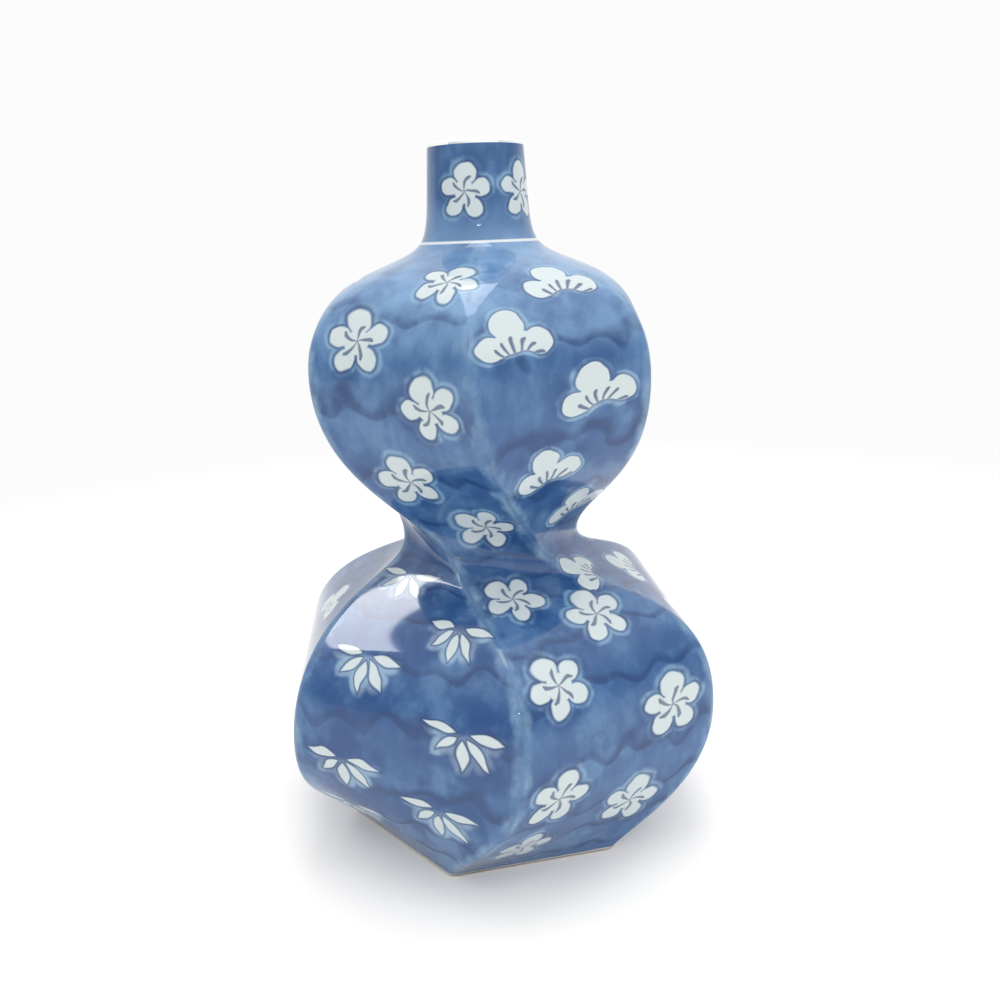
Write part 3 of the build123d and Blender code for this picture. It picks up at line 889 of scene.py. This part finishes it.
# %% [markdown]
# ## Wavy lines
# Soft dark lines in a wave cross each side between the rows of motifs. They are brushed along the
# surface, so they use the distance along the side and not the height. A line is pooled and crisp
# below and fades upwards. Noise lets it sway a little, as a hand does.

# %% Waves across each side
WAVE_PITCH, WAVE_LENGTH, WAVE_SWING = 18.5, 19.0, 1.6      # in mm
UPPER_WAVES = 0.74      # the upper gourd has fewer waves for its height
SIDE_SHIFT = 9.7        # each side starts its waves at another place
SWAY_SIZE, SWAY = 19, 15.0                                 # in mm
WAVE_POOLED, WAVE_FADED = (-1.3, -0.1), (0.8, 3.8)         # edges of a line in mm
waist_along = float(along_mm[spans["lower_bulb"][1]])

to_waist = add(paint, MATH, along, waist_along, operation="MINIMUM")
past_waist = add(paint, MATH, along, to_waist, operation="SUBTRACT")
wave_along = add(paint, MATH, past_waist, UPPER_WAVES, to_waist, operation="MULTIPLY_ADD")
shift = add(paint, MATH, on_side, SIDE_SHIFT, operation="MULTIPLY")
rippled = add(paint, MATH, across, 2 * pi / WAVE_LENGTH, shift, operation="MULTIPLY_ADD")
ripple = add(paint, MATH, rippled, operation="SINE")
swing = add(paint, MATH, ripple, WAVE_SWING, wave_along, operation="MULTIPLY_ADD")
sway = add(paint, NOISE, in_mm, 1 / SWAY_SIZE, 1.0, 0.4, noise_dimensions="3D")
sway = add(paint, MATH, sway, 0.5, operation="SUBTRACT")
drift = add(paint, MATH, sway, SWAY, swing, operation="MULTIPLY_ADD")
stepped = add(paint, MATH, drift, shift, operation="ADD")
off_wave = add(paint, MATH, stepped, WAVE_PITCH / 2, -WAVE_PITCH / 2, operation="WRAP")
pooled_edge = add(paint, MAP_RANGE, off_wave, *WAVE_POOLED, 0.0, 1.0, **SMOOTH)
faded_edge = add(paint, MAP_RANGE, off_wave, *WAVE_FADED, 1.0, 0.0, **SMOOTH)
pressed = add(paint, MAP_RANGE, clouds, 0.40, 0.56, 0.6, 1.0)
up_shoulder = add(paint, MAP_RANGE, height_mm, 196.0, 228.0, 1.0, 0.1)
tone = lay_on(paint, tone, WAVE_BLUE, pooled_edge, faded_edge, pressed, up_shoulder)
print("a wave every", WAVE_PITCH, "mm below the waist and every", round(WAVE_PITCH / UPPER_WAVES, 1), "above")

# %% [markdown]
# ## The ridges
# Glaze runs thin on a sharp edge, so the colour is pale and ragged along each ridge, and this pale
# band is also a painted highlight of the bright room along the ridges. A fine dark touch lies on
# the crest in places. The paint only needs the distance to the ridge for it.

# %% Pale ridges
RAGGED = 7.0            # mm that the brush marks move the pale edge
below_neck = add(paint, MAP_RANGE, height_mm, 226.0, 232.0, 1.0, 0.0)
brush_off = add(paint, MATH, brush, 0.5, operation="SUBTRACT")
ragged = add(paint, MATH, brush_off, RAGGED, ridge_mm, operation="MULTIPLY_ADD")
# pale band along each ridge: partly thin glaze, partly a painted highlight of the bright room
ridge = add(paint, MAP_RANGE, ragged, 0.5, 5.0, 0.65, 0.0, **SMOOTH)
broken = add(paint, MAP_RANGE, clouds, 0.4, 0.62, 0.1, 1.0)
tone = lay_on(paint, tone, RIDGE_PALE_AND_HIGHLIGHT, ridge, broken, below_neck)
crest = add(paint, MAP_RANGE, ridge_mm, 0.2, 1.2, 0.4, 0.0, **SMOOTH)
touched = add(paint, MAP_RANGE, clouds, 0.45, 0.58, 0.0, 1.0)
tone = lay_on(paint, tone, WAVE_BLUE, crest, touched, below_neck)
print("painted porcelain:", len(paint.nodes), "nodes so far")

# %% [markdown]
# ## The motifs on the wash
# Each corner knows the kind of its motif, so all three groups draw and only the right one is kept.
# A little noise moves the place before it is drawn, which gives the wobble of a hand.

# %% Motifs
WOBBLE = 0.22           # of a motif's half width
LINE_STRENGTH = 0.85
seeded = add(paint, VECTOR_MATH, motif, (1.0, 1.0, 37.0), operation="MULTIPLY")
wobble = add(paint, NOISE, seeded, 1.7, 1.0, 0.5, noise_dimensions="3D", out="Color")
wobble = add(paint, VECTOR_MATH, wobble, (0.5, 0.5, 0.5), operation="SUBTRACT")
drawn = add(paint, VECTOR_MATH, wobble, (WOBBLE, WOBBLE, 0.0), motif, operation="MULTIPLY_ADD")
drawn = add(paint, VECTOR_MATH, drawn, (1.0, 1.0, 0.0), operation="MULTIPLY")
found = {"White": 0.0, "Line": 0.0, "Halo": 0.0}
for number, tree in ((PLUM, plum), (PINE, pine), (BAMBOO, bamboo)):
    of_kind = add(paint, MATH, motif_kind, number + 0.5, 0.5, operation="COMPARE")
    stamp = add(paint, "ShaderNodeGroup", drawn, node_tree=tree).node.outputs
    for label in found:
        found[label] = add(paint, MATH, stamp[label], of_kind, found[label], operation="MULTIPLY_ADD")
halo_strength = add(paint, MAP_RANGE, clouds, 0.42, 0.56, 0.7, 0.15)
tone = lay_on(paint, tone, HALO_BLUE, found["Halo"], halo_strength)
tone = lay_on(paint, tone, RESERVE_WHITE, found["White"])
tone = lay_on(paint, tone, LINE_BLUE, found["Line"], LINE_STRENGTH)
print("painted porcelain:", len(paint.nodes), "nodes so far")

# %% [markdown]
# ## What stays white, and the glaze
# The thin line under the neck, the lip and the inside carry no cobalt. Over everything lies the
# clear glaze, which is smooth and hard. So one shader does it, with the paint as its base colour, a
# low roughness and the index of a glass.

# %% White places and glaze
from_seam = add(paint, MATH, height_mm, seat_z / MM, operation="SUBTRACT")
off_seam = add(paint, MATH, from_seam, operation="ABSOLUTE")
neck_line = add(paint, MAP_RANGE, off_seam, 0.3, 0.6, 0.8, 0.0)
lip = add(paint, MAP_RANGE, height_mm, rim_z / MM - 1.5, rim_z / MM - 0.9, 0.0, 1.0)
bare = add(paint, MATH, 1.0, painted, operation="SUBTRACT")
left_white = together(paint, "MAXIMUM", neck_line, lip, bare)
tone = lay_on(paint, tone, GLAZE_WHITE, left_white)
glaze = add(paint, "ShaderNodeBsdfPrincipled", tone)
glaze.node.inputs["Roughness"].default_value = 0.06
glaze.node.inputs["IOR"].default_value = 1.55
paint.links.new(glaze, paint.nodes.new("ShaderNodeOutputMaterial").inputs["Surface"])
print("painted porcelain:", len(paint.nodes), "nodes in all")

# %% [markdown]
# ## The bare foot
# The foot ring is wiped clean of glaze before firing, or it would stick to the kiln shelf. It is
# the same body as the rest, but dry and slightly warm, and the wash ends just above its edge.

# %% Unglazed porcelain
CLAY, CLAY_PALE = "#cfcbc1", "#e2dfd8"
CLAY_GRAIN = 6          # mm
BARE_HEIGHT = 1.5       # mm of bare edge that shows under the wash
body = bpy.data.materials.new("unglazed_porcelain")
clay = empty_tree(body)
in_mm, height_mm = place_in_mm(clay)
grain = add(clay, NOISE, in_mm, 1 / CLAY_GRAIN, 3.0, 0.5, noise_dimensions="3D")
grain_off = add(clay, MATH, grain, 0.5, operation="SUBTRACT")
ragged = add(clay, MATH, grain_off, height_mm, operation="ADD")
washed = add(clay, MAP_RANGE, ragged, BARE_HEIGHT - 0.2, BARE_HEIGHT + 0.3, 0.0, 1.0)
painted = add(clay, ATTRIBUTE, attribute_name="painted", out="Fac")
washed = add(clay, MATH, washed, painted, operation="MULTIPLY")
clay_tone = lay_on(clay, colour(CLAY), CLAY_PALE, grain)
foot_tone = lay_on(clay, clay_tone, WASH, washed)
rough = add(clay, MIX, washed, 0.7, 0.08, data_type="FLOAT")
dry_body = add(clay, "ShaderNodeBsdfPrincipled", foot_tone, None, rough)
clay.links.new(dry_body, clay.nodes.new("ShaderNodeOutputMaterial").inputs["Surface"])
print("unglazed porcelain:", len(clay.nodes), "nodes")

# %% [markdown]
# ## Handing the sections to the frame
# Each dressed section takes the place of its solid and rides on the vase's only body. The foot is
# bare porcelain, and the other three share the painted glaze.

# %% Materials and bodies
for piece, node, material, slot_name in (
        (foot_ring, "foot_ring", body, "bare_porcelain"),
        (lower_bulb, "lower_bulb", porcelain, "blue_white_porcelain"),
        (upper_bulb, "upper_bulb", porcelain, "blue_white_porcelain"),
        (neck, "neck", porcelain, "blue_white_porcelain")):
    piece.data.materials.append(material)
    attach(piece, "root")
    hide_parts(node)

# %% [markdown]
# ## White table
# The vase stands on white paper that runs out into a white backdrop. The paper near the vase is
# plain and matt, so it takes the shadow. Further out it goes over into an even white, for the
# camera and in the glaze alike. Light from the lamps isn't raised for this.

# %% Table
FLOOR_SIZE = 6.0
BACKGROUND = 0.97       # how bright the far table and the wall behind it look to the camera
SHADOW_LIFT = 0.09      # the photograph is exposed for a white table, which opens the shadow a little
PAPER_FROM, PAPER_TO = 0.25, 0.8        # m from the vase, where the paper goes over into white
floor_mesh = bpy.data.meshes.new("white_table")
h = FLOOR_SIZE / 2
floor_mesh.from_pydata([(-h, -h, 0), (h, -h, 0), (h, h, 0), (-h, h, 0)], [], [(0, 1, 2, 3)])
floor = bpy.data.objects.new("white_table", floor_mesh)
bpy.context.scene.collection.objects.link(floor)
paper = bpy.data.materials.new("white_paper")
sheet = empty_tree(paper)
ray = sheet.nodes.new("ShaderNodeLightPath").outputs
on_table = add(sheet, "ShaderNodeTexCoord", out="Object")
away = add(sheet, VECTOR_MATH, on_table, operation="LENGTH", out="Value")
far = add(sheet, MAP_RANGE, away, PAPER_FROM, PAPER_TO, 0.0, 1.0, **SMOOTH)
looked_at = add(sheet, MATH, ray["Is Camera Ray"], ray["Is Glossy Ray"], operation="MAXIMUM")
seen_far = add(sheet, MATH, far, looked_at, operation="MULTIPLY")
matt = add(sheet, "ShaderNodeBsdfDiffuse", colour("#faf9f7"))
glow = add(sheet, "ShaderNodeEmission", colour("#ffffff"), BACKGROUND)
lift = add(sheet, MATH, ray["Is Camera Ray"], SHADOW_LIFT, operation="MULTIPLY")
opened = add(sheet, "ShaderNodeEmission", colour("#fff3e2"), lift)
near = add(sheet, "ShaderNodeAddShader", matt, opened)
whole_sheet = add(sheet, "ShaderNodeMixShader", seen_far, near, glow)
sheet.links.new(whole_sheet, sheet.nodes.new("ShaderNodeOutputMaterial").inputs["Surface"])
floor_mesh.materials.append(paper)
print("table:", FLOOR_SIZE, "m wide")

# %% [markdown]
# ## The room
# A glossy vase shows the room it stands in, so the room decides most of the look. The ceiling is
# bright and the walls are dim, less so behind the camera, with a paler band low down all round.
# The camera itself and reflections of what is behind the vase see the white backdrop.

# %% Room light
WALL_BEHIND_CAMERA, WALL_FAR, CEILING, TABLE_END = 0.45, 0.33, 1.18, 0.3
DIM_SIDE, BRIGHT_SIDE = 0.92, 1.08      # left and right of the room
world = bpy.data.worlds.new("white_room")
bpy.context.scene.world = world
room = empty_tree(world)
ray = room.nodes.new("ShaderNodeLightPath").outputs
direction = add(room, "ShaderNodeTexCoord", out="Generated")
dx, dy, dz = add(room, SEPARATE, direction).node.outputs
walls = add(room, MAP_RANGE, dy, -0.4, -0.1, WALL_BEHIND_CAMERA, WALL_FAR, **SMOOTH)
level = add(room, MAP_RANGE, dz, 0.1, 0.75, walls, CEILING, **SMOOTH)
to_right = add(room, MAP_RANGE, dx, -0.8, 0.8, DIM_SIDE, BRIGHT_SIDE, **SMOOTH)
table_end = add(room, MAP_RANGE, dz, -0.05, 0.16, TABLE_END, 0.0, **SMOOTH)
level = add(room, MATH, level, to_right, table_end, operation="MULTIPLY_ADD")
behind = add(room, MAP_RANGE, dy, 0.1, 0.5, 0.0, 1.0, **SMOOTH)
mirrored = add(room, MATH, behind, ray["Is Glossy Ray"], operation="MULTIPLY")
backdrop = add(room, MATH, mirrored, ray["Is Camera Ray"], operation="MAXIMUM")
level = add(room, MIX, backdrop, level, BACKGROUND, data_type="FLOAT")
sky = add(room, "ShaderNodeBackground", colour("#ffffff"), level)
room.links.new(sky, room.nodes.new("ShaderNodeOutputWorld").inputs["Surface"])
print("room:", len(room.nodes), "nodes")

# %% [markdown]
# ## Lamps
# A wide lamp above gives the shadow under the foot, and a large weak one in front lights the paint
# without showing in the glaze. The bright patch on the lower bulb is a window on the left, which
# shows in the glaze but doesn't light the paint. It stands close and is linked to that bulb alone,
# so its patch shows nowhere else. Two small lamps behind the camera are there for small sparkles.

# %% Lamps and the window
# name, place, aim, width and height in m, watts, lights the paint, shows in the glaze
lamps = (
    ("lamp_above", (0.0, 0.12, 1.6), (0.0, 0.0, 0.1), (0.5, 1.2), 6.0, True, True),
    ("fill_front", (0.5, -1.4, 1.0), (0.0, 0.0, 0.12), (1.2, 1.2), 3.0, True, False),
    ("window_left", (-0.206, 0.037, 0.350), (-0.008, -0.058, 0.144), (0.28, 0.046), 0.33, False, True),
    ("small_lamp_1", (-0.02, -1.6, 0.95), (0.0, 0.0, 0.2), (0.03, 0.03), 0.3, True, True),
    ("small_lamp_2", (0.12, -1.6, 0.95), (0.0, 0.0, 0.2), (0.03, 0.03), 0.3, True, True),
)
holders = {}
for name, place_at, aim, (wide, tall), watts, lights_paint, shows in lamps:
    lamp = bpy.data.lights.new(name, "AREA")
    lamp.shape = "ELLIPSE" if wide == tall else "RECTANGLE"
    lamp.size = wide
    lamp.size_y = tall
    lamp.energy = watts
    holder = bpy.data.objects.new(name, lamp)
    bpy.context.scene.collection.objects.link(holder)
    facing = (Vector(place_at) - Vector(aim)).to_track_quat("Z", "Y").to_matrix().to_4x4()
    holder.matrix_world = Matrix.Translation(place_at) @ facing
    holder.visible_camera = False
    holder.visible_diffuse = lights_paint
    holder.visible_glossy = shows
    holders[name] = holder
    print(name, watts, "W")
shown_in = bpy.data.collections.new("window_is_seen_in")
shown_in.objects.link(lower_bulb)
holders["window_left"].light_linking.receiver_collection = shown_in

# %% [markdown]
# ## Camera
# The camera stands close, about level with the foot of the neck, and looks down at the vase. It is
# tipped about two degrees, as in the photograph. The lens is worked out from its focal length in
# pixels, because that is what fitting the outline of the vase to the picture gave.

# %% Camera
CAMERA_AT = (0.0, -374.3 * MM, 236.07 * MM)
PITCH, ROLL, YAW = 0.2706, 0.0382, 0.0112       # radians
LENS_PX, IMAGE_PX, SENSOR = 950.0, 1000.0, 36.0
lens = bpy.data.cameras.new("camera")
lens.sensor_width = SENSOR
lens.lens = LENS_PX / IMAGE_PX * SENSOR
lens.clip_start = 0.01
camera = bpy.data.objects.new("camera", lens)
bpy.context.scene.collection.objects.link(camera)
camera.matrix_world = (Matrix.Translation(CAMERA_AT) @ Matrix.Rotation(-YAW, 4, "Z")
                       @ Matrix.Rotation(pi / 2 - PITCH, 4, "X") @ Matrix.Rotation(-ROLL, 4, "Z"))
bpy.context.scene.camera = camera
bpy.context.scene.view_settings.view_transform = "Standard"
print("lens in mm:", round(lens.lens, 1))
